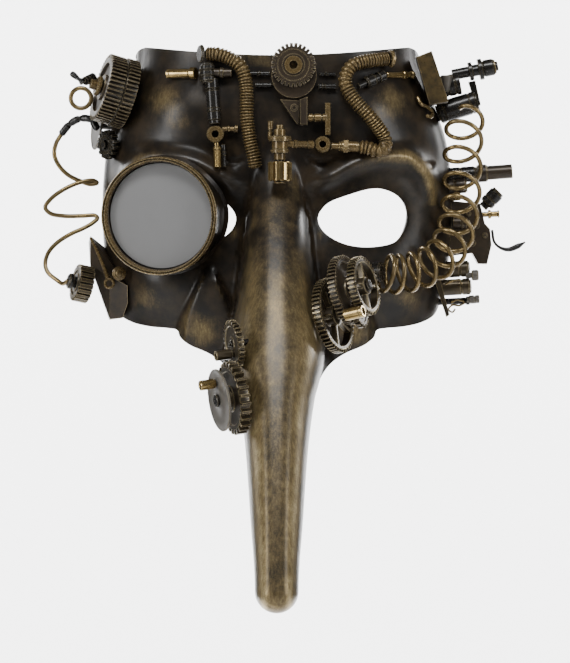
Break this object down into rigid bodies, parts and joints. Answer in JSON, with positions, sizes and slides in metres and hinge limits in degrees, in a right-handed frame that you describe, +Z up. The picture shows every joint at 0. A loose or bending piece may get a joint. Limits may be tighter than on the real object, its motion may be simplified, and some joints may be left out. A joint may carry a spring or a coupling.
{
  "type": "plague doctor mask",
  "caption": "Rigid half face mask with a long down-curved beak, one goggle, open eye hole, hoses, wire coils and small toothed wheels on pins.",
  "frame": {"origin": "on the wearer's eye line, midway between the eyes, in the plane of the shell's rear rim", "axes": "+Z up along the face, the face and beak look along -Y, +X to the right of a person looking at the mask"},
  "size_m": [0.2449, 0.1645, 0.2804],
  "materials": {
    "shell_paint": "formed plastic painted near-black brown and dry-brushed with antique gold on the raised areas, semi-gloss",
    "gold_paint": "moulded plastic or wire painted antique gold over black, worn bright on the edges",
    "brass": "satin, darkened in the recesses",
    "dark_bronze": "moulded plastic painted dark rusty bronze with gold on the edges",
    "black_plastic": "satin black with thin gold dry-brushing",
    "grey_plastic": "satin grey with bronze dust",
    "lens": "opaque even grey, smooth"
  },
  "bodies": {
    "mask": {"mask_shell": "shell_paint", "goggle_tube": "shell_paint", "goggle_rim": "gold_paint", "left_hose": "gold_paint", "right_hose": "gold_paint", "right_hose_ring": "gold_paint", "left_ring": "gold_paint", "right_ring": "gold_paint", "right_union": "gold_paint", "link_lever": "gold_paint", "valve_stem": "gold_paint", "side_wire": "gold_paint", "temple_wire_ring": "gold_paint", "temple_axle": "gold_paint", "cheek_great_wheel": "gold_paint", "coil_spring": "gold_paint", "side_drum_upper": "gold_paint", "side_drum_lower": "gold_paint", "side_blade": "gold_paint", "temple_plate": "gold_paint", "left_pipe": "brass", "left_nozzle": "brass", "right_pipe": "brass", "crown_gear_bracket": "dark_bronze", "bell_crank_plate": "dark_bronze", "jaw_bracket": "dark_bronze", "side_block": "dark_bronze", "side_pipe": "dark_bronze", "crown_rod_upper": "black_plastic", "crown_rod_lower": "black_plastic", "strap_eyelet_left": "black_plastic", "strap_eyelet_right": "black_plastic", "left_hose_flange": "black_plastic", "left_valve_body": "black_plastic", "right_barrel": "black_plastic", "temple_clip": "black_plastic", "temple_pinion": "black_plastic", "wire_sleeve": "black_plastic", "jaw_axle": "black_plastic", "beak_upper_axle": "black_plastic", "beak_lower_axle": "black_plastic", "cheek_axle": "black_plastic", "temple_tank": "black_plastic", "temple_connector": "black_plastic", "side_throttle": "black_plastic", "side_lever": "black_plastic", "side_drain": "black_plastic", "temple_disc": "grey_plastic", "goggle_lens": "lens"},
    "crown_gear_body": {"crown_gear": "dark_bronze"},
    "valve_knob_body": {"valve_knob": "brass"},
    "temple_gear_body": {"temple_gear": "dark_bronze"},
    "jaw_pinion_body": {"jaw_pinion": "gold_paint"},
    "beak_upper_gear_body": {"beak_upper_gear": "gold_paint"},
    "beak_crank_body": {"beak_lower_gear": "gold_paint", "beak_crank_pin": "brass"},
    "cheek_train_body": {"cheek_second_wheel": "dark_bronze", "cheek_third_wheel": "gold_paint", "cheek_post": "brass", "cheek_small_wheel": "dark_bronze"}
  },
  "joints": [
    {"name": "crown_gear_spin", "type": "hinge", "parent": "mask", "child": "crown_gear_body", "pos_m": [0.0082, -0.063, 0.0757], "axis": [0, -1, 0], "continuous": true},
    {"name": "valve_knob_spin", "type": "hinge", "parent": "mask", "child": "valve_knob_body", "pos_m": [0.0014, -0.0725, 0.022], "axis": [0, 0, 1], "continuous": true},
    {"name": "temple_gear_spin", "type": "hinge", "parent": "mask", "child": "temple_gear_body", "pos_m": [-0.0745, -0.031, 0.0623], "axis": [-0.9299, -0.25, 0.27], "continuous": true},
    {"name": "jaw_pinion_spin", "type": "hinge", "parent": "mask", "child": "jaw_pinion_body", "pos_m": [-0.0949, -0.0265, -0.0334], "axis": [-0.9324, -0.3008, 0.2005], "continuous": true},
    {"name": "beak_upper_gear_spin", "type": "hinge", "parent": "mask", "child": "beak_upper_gear_body", "pos_m": [-0.0194, -0.107, -0.0625], "axis": [-0.9331, -0.3311, -0.1405], "continuous": true},
    {"name": "beak_crank_spin", "type": "hinge", "parent": "mask", "child": "beak_crank_body", "pos_m": [-0.0184, -0.114, -0.0888], "axis": [-0.9331, -0.3311, -0.1405], "continuous": true},
    {"name": "cheek_train_spin", "type": "hinge", "parent": "mask", "child": "cheek_train_body", "pos_m": [0.0344, -0.082, -0.0364], "axis": [0.8823, -0.4211, 0.2105], "continuous": true}
  ]
}
